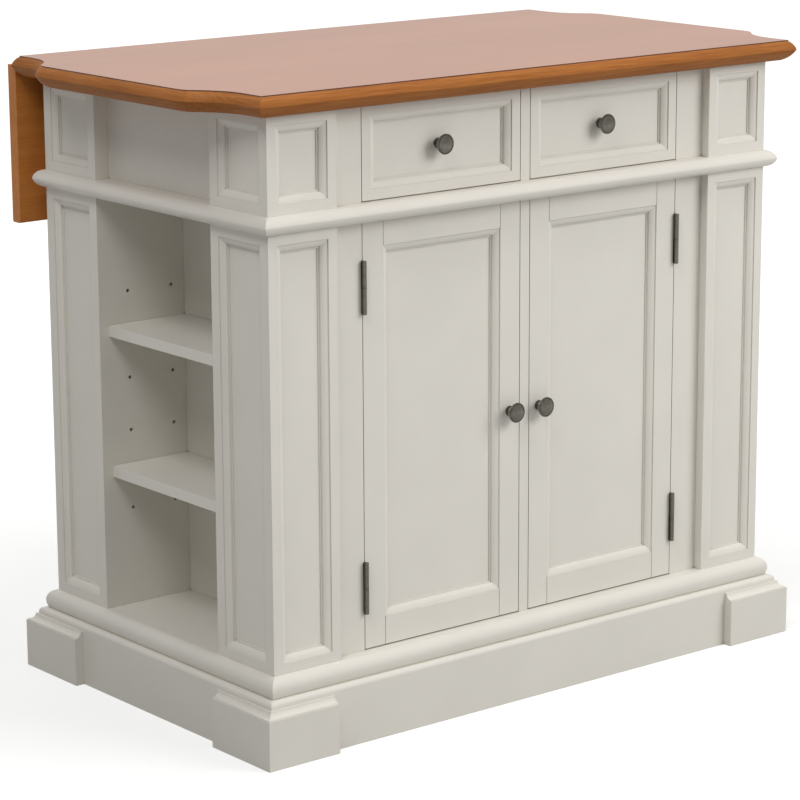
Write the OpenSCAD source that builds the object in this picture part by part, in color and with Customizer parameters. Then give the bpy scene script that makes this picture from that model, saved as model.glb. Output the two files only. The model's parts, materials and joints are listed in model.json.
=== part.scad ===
/* [Cabinet] */
// Width of the body across the corner pilasters
body_w = 920; // [880:5:980]
// Depth of the body, front pilaster face to back pilaster face
body_d = 538; // [510:2:580]
// Height of the worktop surface above the floor
top_z = 914; // [904:1:934]
// Thickness of the main boards
board_t = 18; // [16:1:20]
// Depth of the open shelf bay at each end
bay_depth = 148; // [136:1:156]
// Clear gap round an inset door or drawer front
reveal = 1.2; // [0.8:0.1:2]
// Clear gap above an inset door or drawer front
head_reveal = 2.5; // [2:0.1:3]

/* [Plinth] */
// Height of the skirt boards
skirt_h = 91; // [80:1:100]
// Thickness of the skirt boards, which stand outside the body
skirt_t = 22; // [18:1:26]
// Rounding of the skirt boards' top outer edge
skirt_round = 7; // [4:1:9]
// Height of the corner plinth blocks
block_h = 81; // [70:1:84]
// Thickness of the blocks over the skirt boards
block_t = 14; // [10:1:18]
// Radius of the cove along the blocks' top edge
block_cove = 9; // [6:0.5:9]
// Width of the flat rim below that cove
block_rim = 1.5; // [1:0.5:1.5]
// Length of each block leg along the front
block_w = 120; // [90:1:150]
// Length of each block leg along the end
block_d = 133; // [100:1:150]
// Height of the base moulding
base_h = 28; // [24:1:34]
// Reach of the base moulding beyond the pilasters
base_reach = 14; // [11:1:16]
// Height above its bottom where the base moulding is widest
base_belly = 12; // [10:1:14]

/* [Pilasters] */
// Width of a pilaster's front face
pilaster_w = 115; // [100:1:130]
// Width of a pilaster's end face
pilaster_d = 130; // [115:1:150]
// Plain margin round a panel on the front face
margin_front = 15; // [12:0.5:20]
// Plain margin round a panel on the end face
margin_end = 18; // [14:0.5:24]

/* [Sticking] */
// Width of the moulded edge of a sunk panel
mould_w = 12; // [11:0.5:15]
// Depth of a sunk panel
sunk = 10; // [9.5:0.5:12]
// Width of the flat rim at the outer edge of the moulding
rim_w = 1; // [0.5:0.1:1.5]
// Depth of that rim below the face
rim_d = 1.5; // [1:0.1:2]
// Width of the rounded slope inside the rim
slope_w = 8.5; // [7:0.1:9]
// Radius of the rounded slope
slope_r = 16; // [14:0.5:24]
// Angle of the rounded slope to the face where it leaves the rim
slope_start = 12; // [6:1:15]
// Rise of the flat fillet at the inner edge of the moulding
fillet_d = 1.5; // [1:0.1:2]

/* [Waist] */
// Height of the drawer band, from the waist moulding to the worktop
band_h = 134; // [125:1:150]
// Height of the waist moulding
waist_h = 25; // [20:1:30]
// Reach of the waist moulding beyond the pilasters
waist_reach = 14.5; // [10:0.5:18]

/* [Front] */
// Setback of the front frame and the back panel from the pilasters
frame_setback = 14; // [10:1:18]
// Thickness of the doors, drawer fronts and front frame
front_t = 20; // [20:1:24]
// Width of the stile between a pilaster and a door
stile_w = 52.5; // [45:0.5:60]
// Width of the stile between the doors
centre_w = 17; // [15:0.5:24]
// Width of a door's own stiles
door_stile = 36; // [34:0.5:46]
// Height of a door's top rail
door_top_rail = 35.5; // [34:0.5:60]
// Height of a door's bottom rail
door_bottom_rail = 41; // [34:0.5:70]
// Thickness of a door's loose panel
panel_t = 6; // [4:0.5:6]
// Width of the panel's edge that the moulding covers
panel_tuck = 8; // [6:0.5:8]
// Setback of the upper end panels from the pilasters
apron_setback = 23; // [18:1:26]

/* [Drawers] */
// Height of a drawer box
box_h = 95; // [80:1:98]
// Gap between a drawer box and the back panel
box_back_gap = 38; // [20:1:100]
// Thickness of a drawer box's sides
box_t = 12; // [11:0.5:14]
// Thickness of a drawer's bottom
box_floor = 6; // [5:0.5:8]
// Depth of the recess under a drawer's bottom
box_lift = 8; // [6:0.5:12]
// Gap between a drawer box and the opening's edge on each side
box_side_gap = 6; // [5:0.5:8]
// Height of a drawer box above the bottom edge of its front
box_rise = 6; // [4:0.5:10]
// Distance of the runners' front ends behind the drawer fronts
runner_start = 20; // [16:1:30]
// Height of a runner
runner_h = 12; // [8:0.5:16]
// Reach of a runner into the drawer side
runner_bite = 5.7; // [4:0.1:6]

/* [Shelves] */
// Thickness of the shelves
shelf_t = 16; // [14:0.5:19]
// Setback of the bay shelves from the pilaster's end face
shelf_setback = 16; // [8:1:24]
// Distance of the inside shelf behind the front frame
inner_shelf_setback = 26; // [20:1:60]
// Diameter of a shelf pin
pin_d = 5; // [4:0.5:6]
// Depth of a shelf pin's hole
pin_depth = 10; // [8:1:12]
// Reach of a shelf pin under its shelf
pin_reach = 9; // [6:1:12]
// Distance of the outer pin holes from the pilaster's end face
pin_outer = 50; // [35:1:60]
// Distance of the inner pin holes from the pilaster's end face
pin_inner = 125; // [105:1:132]
// Distance of the inside shelf's pins from its front and back edges
pin_inset = 50; // [30:1:80]
// Row of holes that carries the lower bay shelf
lower_row = 1; // [0:1:2]
// Row of holes that carries the upper bay shelf
upper_row = 4; // [3:1:5]

/* [Worktop] */
// Thickness of the worktop
top_t = 30; // [26:1:34]
// Overhang of the worktop's surface beyond the front and the back
top_over = 22.5; // [18:0.5:30]
// Overhang of the surface beyond the ends
top_over_end = 64.5; // [54:0.5:74]
// Drawing in of the surface at each corner, from the end to the front edge
flare = 40.5; // [30:0.5:44]
// Radius of the hollow part of the corner curve
hollow_r = 95; // [75:5:110]
// Radius of the round part of the corner curve
round_r = 35.5; // [30:0.5:45]
// Straight length of the edge between the front and the hollow part of the corner curve
corner_straight = 37.5; // [20:0.5:50]
// Reach of the edge moulding beyond the surface
nose = 9; // [7:0.5:11]
// Drawing in of the edge moulding's bottom under the surface's edge
nose_tuck = 7; // [5:0.5:8]
// Rise of the surface above the edge moulding
lip = 1.5; // [0.8:0.1:2.5]
// Drawing in of the edge moulding just below its widest line
nose_step = 0.5; // [0.3:0.1:1]
// Radius of the edge moulding's round above its widest line
upper_r = 20; // [17:1:30]
// Radius of the edge moulding's round below its widest line
lower_r = 30; // [24:1:40]
// Height of the lap where the edge moulding runs under the board
lap_h = 5; // [4:0.5:7]
// Width of that lap
lap_w = 9.5; // [9:0.5:12]

/* [Leaf] */
// Height of the hanging leaf
leaf_h = 230; // [200:5:260]
// Thickness of the leaf
leaf_t = 20; // [18:0.5:24]
// Gap between the worktop's edge and the leaf
leaf_gap = 3.5; // [2.5:0.1:4]
// Rounding of the leaf's lower edges
leaf_round = 3; // [1:0.5:6]
// Depth of the leaf hinges' axis behind the leaf's inner face
pivot_in = 2.8; // [2.8:0.1:3.4]
// Depth of the leaf hinges' axis below the leaf's top edge
pivot_down = 2.2; // [2:0.1:2.4]
// Distance from the leaf's ends to the middle of its outer hinges
leaf_hinge_inset = 83; // [55:1:120]
// Width of a leaf hinge
leaf_hinge_w = 60; // [48:2:80]

/* [Stays] */
// Distance of each leaf stay from the back pilaster beside it
stay_inset = 45; // [30:1:150]
// Distance of the cabinet pivot out from the back pilaster face
stay_out = 18; // [16:0.5:20]
// Depth of the cabinet pivot below the worktop
stay_below = 48; // [44:1:54]
// Distance of the leaf pivot below the hinge axis
stay_down = 90; // [86:1:94]
// Distance of the leaf pivot off the leaf's inner face
stay_off = 8; // [7:0.5:10]
// Length of the long link between its pivots
stay_long = 74; // [71:0.5:75]
// Length of the short link between its pivots
stay_short = 49; // [47:0.5:51]
// Width of the links
link_w = 12; // [9:0.5:13]
// Thickness of the links
link_t = 3; // [2:0.5:4]

/* [Hardware] */
// Radius of a door hinge's barrel
barrel_r = 3.3; // [3:0.1:4.2]
// Length of a door hinge's barrel
barrel_h = 74; // [60:1:90]
// Gap between the two knuckles of a door hinge
knuckle_gap = 0.8; // [0.4:0.1:1.2]
// Distance of the barrel's axis in front of the door
barrel_out = 4.5; // [4.4:0.1:6]
// Thickness of a hinge plate
plate_t = 1.5; // [1:0.1:2]
// Depth of a door hinge's plate behind the door's face
plate_d = 17; // [12:0.5:18]
// Distance from the door's ends to the middle of its hinges
hinge_inset = 89; // [70:1:140]
// Diameter of a knob's head
knob_d = 29; // [24:1:34]
// Reach of a knob from the face it stands on
knob_reach = 21; // [18:0.5:26]
// Diameter of a knob's foot
knob_foot_d = 15; // [13:0.5:18]
// Height of a knob's foot
knob_foot_h = 4; // [2:0.5:5]
// Diameter of a knob's neck at its narrowest
knob_neck_d = 10; // [8:0.5:11]
// Rise of the dome in front of a knob's rim
knob_dome = 3.5; // [3:0.5:5]
// Depth of the curved back behind a knob's rim
knob_back = 3.5; // [2.5:0.5:4]
// Radius of the bead round a knob's rim
knob_bead = 1; // [0.8:0.1:1.2]
// Diameter of a knob's screw
screw_d = 4; // [3:0.5:5]
// Diameter of a knob screw's head
screw_head_d = 9; // [8:0.5:10]
// Thickness of a knob screw's head
screw_head_t = 2.2; // [1.6:0.1:3]

/* [Hidden] */
$fn = 48;
over = 1;
fit = 0.3;
slope_end = asin(sin(slope_start) + slope_w / slope_r);
slope_d = slope_r * (cos(slope_start) - cos(slope_end));
running = 0.1;
hinge_pin_r = 1.8;
hinge_pin_in = 4;
pin_rows = [264, 313, 380, 458, 520, 585];
pin_columns = [pin_outer, pin_inner];
pin_hole_d = pin_d + 2 * running;
half_w = body_w / 2;
floor_z = skirt_h + base_h;
under_top = top_z - top_t;
waist_top = under_top - band_h;
waist_z = waist_top - waist_h;
opening = half_w - pilaster_w - stile_w;
half_centre = centre_w / 2;
block_reach = skirt_t + block_t;
base_back = board_t;
base_r = base_h - base_belly;
base_low_r = 28;
partition_x = half_w - bay_depth;
mid_z = waist_top - board_t;
apron_back = apron_setback + board_t;
back_face = body_d - frame_setback;
back_t = 12;
rear_gap = 2;
back_in = back_face - back_t;
stretcher_w = 70;
stretcher_z = under_top - board_t;
face_y = frame_setback;
rear_y = face_y + front_t;

door_z = floor_z + reveal + fit;
door_h = waist_z - head_reveal - door_z;
door_w = opening - half_centre - 2 * reveal;
door_x = (opening + half_centre) / 2;
window_w = door_w - 2 * door_stile;
window_h = door_h - door_top_rail - door_bottom_rail;
window_z = door_z + door_bottom_rail + window_h / 2;
panel_grip = mould_w - panel_tuck;
groove_t = panel_t + 2 * running;
joint_line = 0.8;
joint_depth = 0.6;

drawer_z = waist_top + reveal;
drawer_h = under_top - head_reveal - drawer_z;
drawer_mid = drawer_z + drawer_h / 2;
box_z = drawer_z + box_rise;
box_len = back_in - rear_y - box_back_gap;
box_x0 = half_centre + box_side_gap;
box_x1 = opening - box_side_gap;
box_w = box_x1 - box_x0;
box_mid = (box_x0 + box_x1) / 2;
runner_z = box_z + box_h / 2;
runner_y = rear_y + runner_start;
runner_len = back_in - runner_y - rear_gap;

surface_end = half_w + top_over_end;
surface_front = -top_over;
surface_back = body_d + top_over;
hollow_y = surface_front + corner_straight;
vertex_x = surface_end - flare;
curve_sum = hollow_r + round_r;
curve_len = sqrt(2 * curve_sum * flare - flare * flare);
curve_angle = acos(1 - flare / curve_sum);
nose_h = top_t / 2;
catch_w = 36;
catch_d = 16;
catch_in = 12;
catch_lap = 8;
fine_joint = 0.04;
fine_turn = fine_joint / round_r * 180 / PI;
bead_h = top_t - lip - nose_h;
low_run = nose - nose_step + nose_tuck;
upper_mid = arc_centre([nose, nose_h], [0, nose_h + bead_h], upper_r);
lower_mid = arc_centre([-nose_tuck, 0], [nose - nose_step, nose_h], lower_r);

leaf_w = 2 * vertex_x;
leaf_hinge_x = vertex_x - leaf_hinge_inset;
leaf_in = surface_back + nose + leaf_gap;
leaf_out = leaf_in + leaf_t;
leaf_top = top_z - nose_h;
pivot_y = leaf_in + pivot_in;
pivot_z = leaf_top - pivot_down;
leaf_barrel_r = 2.6;
leaf_pin_r = 1.2;
notch_in = 6;
notch_down = 8;
leaf_plate_h = 46;
strip_t = 1.2;

stay_a = [body_d + stay_out, under_top - stay_below];
stay_b = [leaf_in - stay_off, pivot_z - stay_down];
stay_x = half_w - pilaster_w - stay_inset;
stay_gap = 0.4;
ear_t = 2.5;
ear_x = stay_gap + link_t + fit;
rivet_r = 3;
rivet_end = 1.4;
rivet_head_r = 4.5;
rivet_head_t = 1.2;
eye_margin = 1;
eye_r = link_w / 2 + eye_margin;
foot_w = 18;
foot_h = 44;

overall_front = -block_reach;
overall_back = leaf_out;
y_shift = -(overall_front + overall_back) / 2;

paint = [0.86, 0.84, 0.80];
inner_paint = [0.80, 0.78, 0.73];
surface_wood = [0.80, 0.67, 0.60];
edge_wood = [0.62, 0.39, 0.22];
leaf_wood = [0.45, 0.26, 0.14];
pewter = [0.22, 0.22, 0.23];
steel = [0.62, 0.63, 0.65];

// ---------- placing ----------

// The origin stands on the floor under the middle of the whole object.
module centred() {
    translate([0, y_shift, 0]) children();
}

// Puts a run that faces the front on one of the four sides of the body.
module on_side(side) {
    if (side == "front") children();
    if (side == "back") translate([0, body_d, 0]) rotate([0, 0, 180]) children();
    if (side == "left") translate([-half_w, body_d / 2, 0]) rotate([0, 0, -90]) children();
    if (side == "right") translate([half_w, body_d / 2, 0]) rotate([0, 0, 90]) children();
}

function side_len(side) = (side == "front" || side == "back") ? body_w : body_d;

// Mirrors a piece that is drawn for the left end to the right end.
module on_hand(hand) {
    if (hand == "left") children();
    if (hand == "right") mirror([1, 0, 0]) children();
}

// Lays a profile, drawn as reach out and height up, along a side with mitred ends.
module mitred_run(len, reach, back, h) {
    intersection() {
        translate([-len / 2 - reach, 0, 0])
            rotate([90, 0, 90])
                linear_extrude(len + 2 * reach)
                    mirror([1, 0]) children();
        translate([0, 0, -over])
            linear_extrude(h + 2 * over)
                polygon([[-len / 2 + back, back], [len / 2 - back, back],
                         [len / 2 + reach, -reach], [-len / 2 - reach, -reach]]);
    }
}

// ---------- sunk panels ----------

// Section of the hollow of a sunk panel: x runs across it, y runs in from the face.
module sunk_section(w) {
    slope_x = w / 2 - rim_w;
    fillet_x = slope_x - slope_w;
    translate([-w / 2, -over]) square([w, rim_d + over]);
    difference() {
        translate([-slope_x, -over]) square([2 * slope_x, rim_d + slope_d + over]);
        for (s = [-1, 1])
            translate([s * (slope_x + slope_r * sin(slope_start)),
                       rim_d + slope_r * cos(slope_start)])
                circle(slope_r);
    }
    translate([-fillet_x, -over]) square([2 * fillet_x, sunk - fillet_d + over]);
    translate([-w / 2 + mould_w, -over]) square([w - 2 * mould_w, sunk + over]);
}

// Hollow of a sunk panel on a face that looks to the front, centred on the origin.
module sunk_panel(w, h) {
    intersection() {
        translate([0, 0, -h / 2 - over]) linear_extrude(h + 2 * over) sunk_section(w);
        translate([-w / 2 - over, 0, 0])
            rotate([90, 0, 90])
                linear_extrude(w + 2 * over)
                    rotate([0, 0, 90]) mirror([0, 1]) sunk_section(h);
    }
}

// ---------- plinth ----------

module skirt_profile() {
    square([skirt_t, skirt_h - skirt_round]);
    square([skirt_t - skirt_round, skirt_h]);
    translate([skirt_t - skirt_round, skirt_h - skirt_round]) circle(skirt_round);
}

module skirt(side) {
    color(paint) centred() on_side(side)
        mitred_run(side_len(side), skirt_t, 0, skirt_h) skirt_profile();
}

module block_profile() {
    rim_z = block_h - block_cove - block_rim;
    inner = block_t - block_rim;
    translate([skirt_t, 0]) {
        square([block_t, rim_z]);
        difference() {
            square([inner, block_h]);
            translate([inner, block_h]) circle(block_cove);
        }
    }
}

// One leg of a block, from the corner along a face that looks to the front.
module block_leg(len, edge) {
    corner = -edge - block_reach;
    intersection() {
        translate([corner, 0, 0])
            rotate([90, 0, 90]) linear_extrude(len) mirror([1, 0]) block_profile();
        translate([0, 0, -over])
            linear_extrude(block_h + 2 * over)
                polygon([[-edge, 0], [corner + len + over, 0],
                         [corner + len + over, -block_reach], [corner, -block_reach]]);
    }
}

// The block at the front left corner, one leg along the front and one along the end.
module plinth_block() {
    block_leg(block_w, half_w);
    on_side("left") mirror([1, 0, 0]) block_leg(block_d, body_d / 2);
}

module plinth_blocks() {
    color(paint) centred()
        for (x = [0, 1], y = [0, 1])
            translate([0, y * body_d, 0]) mirror([x, 0, 0]) mirror([0, y, 0]) plinth_block();
}

module base_profile() {
    translate([-base_back, 0]) square([base_back, base_h]);
    intersection() {
        translate([base_reach - base_r, base_belly]) circle(base_r);
        translate([-over, base_belly]) square([base_reach + 2 * over, base_r]);
    }
    intersection() {
        translate([base_reach - base_low_r, base_belly]) circle(base_low_r);
        translate([-over, 0]) square([base_reach + 2 * over, base_belly]);
    }
}

module base_moulding(side) {
    color(paint) centred() on_side(side) translate([0, 0, skirt_h])
        mitred_run(side_len(side), base_reach, base_back, base_h) base_profile();
}

module bottom_board() {
    color(inner_paint) centred()
        translate([-half_w + base_back, base_back, floor_z - board_t])
            cube([body_w - 2 * base_back, body_d - 2 * base_back, board_t]);
}

// ---------- body ----------

// The front left corner: two moulded faces, the wall of the bay and the return above it.
module pilaster_shape() {
    lower = [floor_z + margin_front, waist_z - margin_front];
    upper = [waist_top + margin_front, under_top - margin_front];
    end_panel = pilaster_d - 2 * margin_end;
    front_panel = pilaster_w - 2 * margin_front;
    h = under_top - floor_z;
    difference() {
        union() {
            translate([-half_w, 0, floor_z]) cube([pilaster_w, board_t, h]);
            translate([-half_w, 0, floor_z]) cube([board_t, pilaster_d, h]);
            translate([-half_w, pilaster_d - board_t, floor_z])
                cube([bay_depth, board_t, mid_z - floor_z]);
            translate([-half_w, pilaster_d - board_t, waist_top])
                cube([apron_back, board_t, under_top - waist_top]);
        }
        for (z = [lower, upper]) {
            translate([-half_w + pilaster_w / 2, 0, (z[0] + z[1]) / 2])
                sunk_panel(front_panel, z[1] - z[0]);
            translate([-half_w, pilaster_d / 2, (z[0] + z[1]) / 2])
                rotate([0, 0, -90]) sunk_panel(end_panel, z[1] - z[0]);
        }
        for (z = pin_rows, x = pin_columns)
            translate([-half_w + x, pilaster_d + over, z])
                rotate([90, 0, 0]) cylinder(d = pin_hole_d, h = pin_depth + over);
    }
}

module pilaster(hand, back) {
    color(paint) centred() on_hand(hand)
        translate([0, back ? body_d : 0, 0]) mirror([0, back ? 1 : 0, 0]) pilaster_shape();
}

module partition(hand) {
    color(inner_paint) centred() on_hand(hand)
        difference() {
            translate([-partition_x, rear_y, floor_z])
                cube([board_t, back_in - rear_y, mid_z - floor_z]);
            for (y = inner_pin_y())
                translate([-partition_x + board_t + over, y, inner_pin_z()])
                    rotate([0, -90, 0]) cylinder(d = pin_hole_d, h = pin_depth + over);
        }
}

module middle_board() {
    color(inner_paint) centred()
        translate([-half_w + apron_back, rear_y, mid_z])
            cube([body_w - 2 * apron_back, back_in - rear_y, board_t]);
}

module waist_profile() {
    half_h = waist_h / 2;
    r = (waist_reach * waist_reach + half_h * half_h) / (2 * half_h);
    intersection() {
        translate([0, waist_h - r]) circle(r);
        translate([0, r]) circle(r);
        square([waist_reach, waist_h]);
    }
}

// The moulding stands on the pilasters; a filler behind it closes the space between them.
module waist_moulding(side) {
    is_end = side == "left" || side == "right";
    gap = is_end ? body_d - 2 * pilaster_d : body_w - 2 * pilaster_w;
    depth = is_end ? apron_back : frame_setback;
    color(paint) centred() on_side(side) translate([0, 0, waist_z]) {
        mitred_run(side_len(side), waist_reach, 0, waist_h) waist_profile();
        translate([-gap / 2, 0, 0]) cube([gap, depth, waist_h]);
        if (side == "front")
            translate([-opening, 0, 0]) cube([2 * opening, rear_y, waist_h]);
    }
}

module end_apron(hand) {
    color(paint) centred() on_hand(hand)
        translate([-half_w + apron_setback, pilaster_d, waist_top])
            cube([board_t, body_d - 2 * pilaster_d, under_top - waist_top]);
}

module back_panel() {
    span = body_w - 2 * pilaster_w;
    color(paint) centred()
        translate([-span / 2, back_in, floor_z]) cube([span, back_t, under_top - floor_z]);
}

module face_stile(hand) {
    color(paint) centred() on_hand(hand)
        difference() {
            translate([-opening - stile_w, face_y, floor_z])
                cube([stile_w, front_t, under_top - floor_z]);
            for (z = hinge_heights())
                translate([-opening - plate_t, face_y - over, z - barrel_h / 2])
                    cube([plate_t + over, plate_d + over, barrel_h]);
        }
}

module face_stile_centre() {
    color(paint) centred()
        translate([-half_centre, face_y, floor_z])
            cube([centre_w, front_t, waist_z - floor_z]);
}

// Three boards between the drawers; the middle one shows between the drawer fronts.
module drawer_partitions() {
    h = stretcher_z - waist_top;
    color(paint) centred() {
        for (x = [-partition_x, partition_x - board_t])
            translate([x, rear_y, waist_top]) cube([board_t, back_in - rear_y, h]);
        translate([-half_centre, rear_y, waist_top]) cube([centre_w, back_in - rear_y, h]);
        translate([-half_centre, face_y, waist_top])
            cube([centre_w, front_t, under_top - waist_top]);
    }
}

module top_stretchers() {
    color(inner_paint) centred()
        for (y = [rear_y, back_in - stretcher_w])
            translate([-half_w + apron_back, y, stretcher_z])
                cube([body_w - 2 * apron_back, stretcher_w, board_t]);
}

// ---------- worktop ----------

// Outline of one front corner on the right, grown by g beyond the surface's edge. It reaches
// a little past the middle of the worktop, so that the four corners overlap.
module corner_outline(g) {
    mid = [surface_end - round_r, hollow_y + curve_len];
    hollow = [vertex_x + hollow_r, hollow_y];
    difference() {
        polygon([[-over, mid[1] + over], mid + [0, over], mid, hollow, [vertex_x + g, hollow_y],
                 [vertex_x + g, surface_front - g], [-over, surface_front - g]]);
        translate(hollow) circle(hollow_r - g, $fn = 180);
    }
    translate(mid) circle(round_r + g, $fn = 96);
}

// Whole outline of the worktop, grown by g beyond the surface's edge.
module top_outline(g) {
    y0 = hollow_y + curve_len;
    for (x = [0, 1], y = [0, 1])
        translate([0, y * body_d]) mirror([0, y]) mirror([x, 0]) corner_outline(g);
    translate([-surface_end - g, y0])
        square([2 * (surface_end + g), body_d - 2 * y0]);
}

module worktop_board() {
    color(surface_wood) centred() {
        translate([0, 0, under_top + lap_h]) linear_extrude(top_t - lap_h) top_outline(0);
        translate([0, 0, under_top]) linear_extrude(lap_h) top_outline(-lap_w);
    }
}

// Centre of an arc of radius r that bulges to the right of the way from a to b.
function arc_centre(a, b, r) =
    let (way = b - a, half = norm(way) / 2)
    (a + b) / 2 - [way[1], -way[0]] / norm(way) * sqrt(r * r - half * half);

// Section of the edge moulding: x runs out from the surface's edge, y runs up.
module edge_profile() {
    difference() {
        union() {
            intersection() {
                translate(upper_mid) circle(upper_r);
                translate([0, nose_h]) square([nose, bead_h]);
            }
            intersection() {
                translate(lower_mid) circle(lower_r);
                translate([-nose_tuck, 0]) square([low_run, nose_h]);
            }
            translate([-lap_w, 0]) square([lap_w - nose_tuck, lap_h]);
        }
        translate([-lap_w, lap_h]) square([lap_w, top_t]);
    }
}

// A straight length of edge moulding that looks to the front, with square ends.
module edge_straight(len) {
    translate([-len / 2, 0, under_top])
        rotate([90, 0, 90]) linear_extrude(len) mirror([1, 0]) edge_profile();
}

// Everything between the slanting planes through the surface's two front corners.
module front_mitre() {
    reach = 2 * nose;
    x = vertex_x - fine_joint;
    translate([0, 0, under_top - over])
        linear_extrude(top_t + 2 * over)
            polygon([[-x + reach, surface_front + reach], [x - reach, surface_front + reach],
                     [x + reach, surface_front - reach], [-x - reach, surface_front - reach]]);
}

// Everything behind the slanting plane through the right front corner, up to the hollow curve.
module corner_mitre() {
    translate([0, 0, under_top - over])
        linear_extrude(top_t + 2 * over)
            polygon([[vertex_x - 2 * nose, surface_front + 2 * nose],
                     [vertex_x + 2 * nose, surface_front - 2 * nose],
                     [vertex_x + 2 * nose, hollow_y - fine_joint],
                     [vertex_x - 2 * nose, hollow_y - fine_joint]]);
}

module edge_front() {
    intersection() {
        translate([0, surface_front, 0]) edge_straight(2 * (vertex_x + nose + over));
        front_mitre();
    }
}

// The corner on the right: a mitred straight length, then a hollow arc and a round one.
// The lengths of edge moulding meet at fine joints all round the worktop.
module edge_corner() {
    intersection() {
        translate([vertex_x, hollow_y, 0]) rotate([0, 0, 90])
            edge_straight(2 * (corner_straight + nose + over));
        corner_mitre();
    }
    translate([vertex_x + hollow_r, hollow_y, under_top])
        rotate([0, 0, 180 - curve_angle])
            rotate_extrude(angle = curve_angle, $fn = 180)
                translate([hollow_r, 0]) mirror([1, 0]) edge_profile();
    translate([surface_end - round_r, hollow_y + curve_len, under_top])
        rotate([0, 0, fine_turn - curve_angle])
            rotate_extrude(angle = curve_angle - fine_turn, $fn = 180)
                translate([round_r, 0]) edge_profile();
}

module worktop_edging() {
    side = body_d - 2 * (hollow_y + curve_len) - 2 * fine_joint;
    color(edge_wood) centred() {
        for (y = [0, 1]) translate([0, y * body_d, 0]) mirror([0, y, 0]) {
            edge_front();
            for (x = [0, 1]) mirror([x, 0, 0]) edge_corner();
        }
        for (x = [0, 1]) mirror([x, 0, 0])
            translate([surface_end, body_d / 2, 0]) rotate([0, 0, 90]) edge_straight(side);
    }
}

// ---------- shelves ----------

function inner_shelf_y() = rear_y + inner_shelf_setback;
function inner_shelf_len() = back_in - inner_shelf_y() - rear_gap;
function inner_shelf_z() = (floor_z + waist_z) / 2;
function inner_pin_z() = inner_shelf_z() - pin_d / 2;
function inner_pin_y() =
    [inner_shelf_y() + pin_inset, inner_shelf_y() + inner_shelf_len() - pin_inset];
function shelf_z(row) = pin_rows[row] + pin_d / 2;

module bay_shelf(hand, row) {
    color(inner_paint) centred() on_hand(hand)
        translate([-half_w + shelf_setback, pilaster_d + fit, shelf_z(row)])
            cube([bay_depth - shelf_setback - fit, body_d - 2 * pilaster_d - 2 * fit, shelf_t]);
}

module inside_shelf() {
    w = 2 * (partition_x - board_t - fit);
    color(inner_paint) centred()
        translate([-w / 2, inner_shelf_y(), inner_shelf_z()])
            cube([w, inner_shelf_len(), shelf_t]);
}

// A pin that points along +Y out of a wall that stands at y = 0.
module shelf_pin() {
    translate([0, -pin_depth + fit, 0]) rotate([-90, 0, 0])
        cylinder(d = pin_d, h = pin_depth + pin_reach - fit);
}

module shelf_pins() {
    color(steel) centred() {
        for (hand = ["left", "right"], row = [lower_row, upper_row], x = pin_columns)
            on_hand(hand) {
                translate([-half_w + x, pilaster_d, pin_rows[row]]) shelf_pin();
                translate([-half_w + x, body_d - pilaster_d, pin_rows[row]])
                    mirror([0, 1, 0]) shelf_pin();
            }
        for (hand = ["left", "right"], y = inner_pin_y())
            on_hand(hand)
                translate([-partition_x + board_t, y, inner_pin_z()])
                    rotate([0, 0, -90]) shelf_pin();
    }
}

// ---------- doors ----------

function hinge_heights() = [door_z + hinge_inset, door_z + door_h - hinge_inset];

module door_frame_shape() {
    x = -door_x;
    difference() {
        translate([x - door_w / 2, face_y, door_z]) cube([door_w, front_t, door_h]);
        translate([x, face_y, window_z]) sunk_panel(window_w, window_h);
        translate([x - window_w / 2 + mould_w, face_y - over, window_z - window_h / 2 + mould_w])
            cube([window_w - 2 * mould_w, front_t + 2 * over, window_h - 2 * mould_w]);
        translate([x - window_w / 2 + panel_grip, face_y + sunk,
                   window_z - window_h / 2 + panel_grip])
            cube([window_w - 2 * panel_grip, groove_t, window_h - 2 * panel_grip]);
        for (s = [-1, 1], z = [door_z - over, window_z + window_h / 2])
            translate([x + s * window_w / 2 - joint_line / 2, face_y - over, z])
                cube([joint_line, joint_depth + over,
                      z < window_z ? door_bottom_rail + over : door_top_rail + over]);
        for (z = hinge_heights())
            translate([-opening + reveal - over, face_y - over, z - barrel_h / 2])
                cube([plate_t + over, plate_d + over, barrel_h]);
        translate([knob_x(), face_y, door_z + door_h / 2]) knob_hole(front_t);
    }
}

function knob_x() = -half_centre - reveal - door_stile / 2;

module door_frame(hand) {
    color(paint) centred() on_hand(hand) door_frame_shape();
}

module door_panel(hand) {
    w = window_w - 2 * panel_grip - 2 * fit;
    h = window_h - 2 * panel_grip - 2 * fit;
    color(paint) centred() on_hand(hand)
        translate([-door_x - w / 2, face_y + sunk, window_z - h / 2])
            cube([w, panel_t, h]);
}

// Flat half section of a dome: half its width across, and its rise above y = 0.
module dome_section(half, rise) {
    r = (half * half + rise * rise) / (2 * rise);
    intersection() {
        translate([0, rise - r]) circle(r, $fn = 96);
        square([half, rise]);
    }
}

// Section of a knob: x runs out from its axis, y runs out from the face it stands on.
module knob_section() {
    rim_r = knob_d / 2 - knob_bead;
    dome_r = rim_r - knob_bead - fit;
    back_y = knob_reach - knob_dome - 2 * knob_bead;
    neck_r = (back_y - knob_back - knob_foot_h) / 2;
    difference() {
        square([knob_foot_d / 2, back_y]);
        translate([knob_neck_d / 2 + neck_r, knob_foot_h + neck_r]) circle(neck_r);
    }
    translate([0, back_y]) {
        mirror([0, 1]) dome_section(rim_r, knob_back);
        square([rim_r, knob_bead]);
        translate([rim_r, knob_bead]) circle(knob_bead);
        square([dome_r, 2 * knob_bead]);
        translate([0, 2 * knob_bead]) dome_section(dome_r, knob_dome);
    }
}

// Knob on a face that looks to the front, with its screw through a board of thickness t.
module knob(t) {
    rotate([90, 0, 0]) rotate_extrude() knob_section();
    rotate([-90, 0, 0]) {
        cylinder(d = screw_d, h = t + over);
        translate([0, 0, t]) cylinder(d = screw_head_d, h = screw_head_t);
    }
}

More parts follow.
